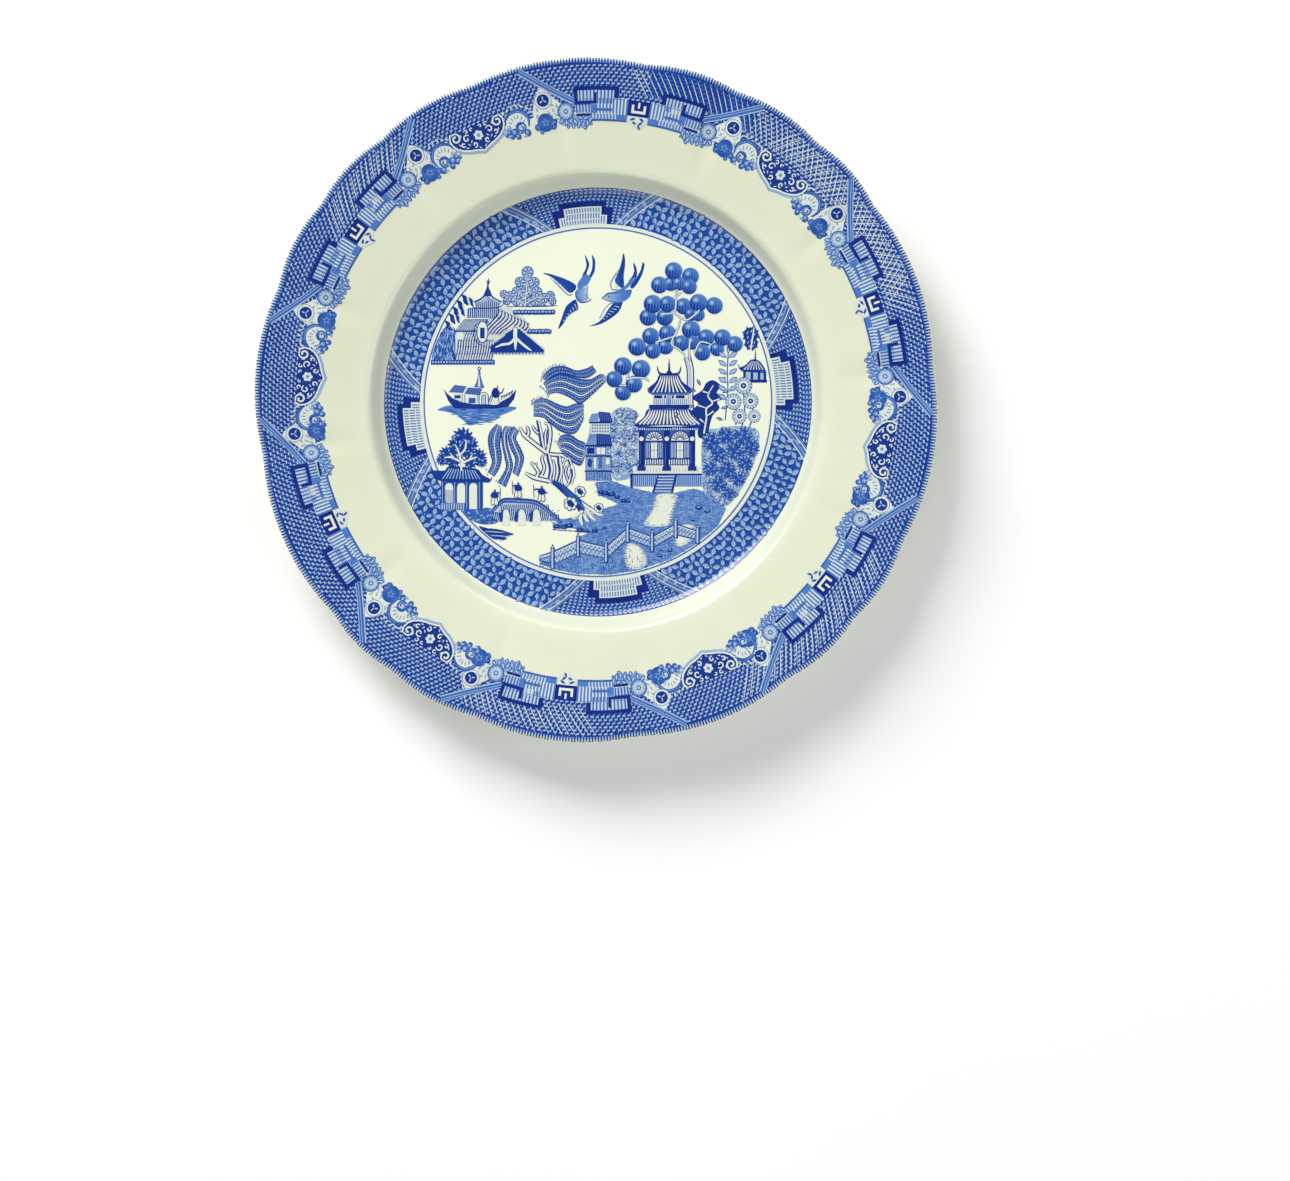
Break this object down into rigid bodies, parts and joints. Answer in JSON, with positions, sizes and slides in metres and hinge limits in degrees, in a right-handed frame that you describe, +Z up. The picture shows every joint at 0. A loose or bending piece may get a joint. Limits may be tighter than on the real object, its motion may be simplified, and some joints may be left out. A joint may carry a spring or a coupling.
{
  "type": "dinner plate",
  "caption": "Round china dinner plate with a lobed rim, a shallow well, a foot ring and a blue underglaze print on its face.",
  "frame": {"origin": "middle of the plane that the foot ring rests on", "axes": "+Z up out of the well, +Y towards the top of the printed scene, +X to its right"},
  "size_m": [0.2664, 0.2665, 0.0245],
  "materials": {
    "biscuit": "matt fired body, bare only under the foot ring",
    "glaze": "clear glossy glaze with a faint green-ivory cast",
    "cobalt_print": "cobalt blue print under the glaze"
  },
  "bodies": {
    "root": {"biscuit_body": "biscuit", "main_glaze": "glaze", "base_glaze": "glaze", "border_transfer_1": "cobalt_print", "border_transfer_2": "cobalt_print", "border_transfer_3": "cobalt_print", "border_transfer_4": "cobalt_print", "border_transfer_5": "cobalt_print", "border_transfer_6": "cobalt_print", "edge_transfer": "cobalt_print", "band_transfer": "cobalt_print", "line_transfer": "cobalt_print", "scene_transfer": "cobalt_print"}
  },
  "joints": []
}
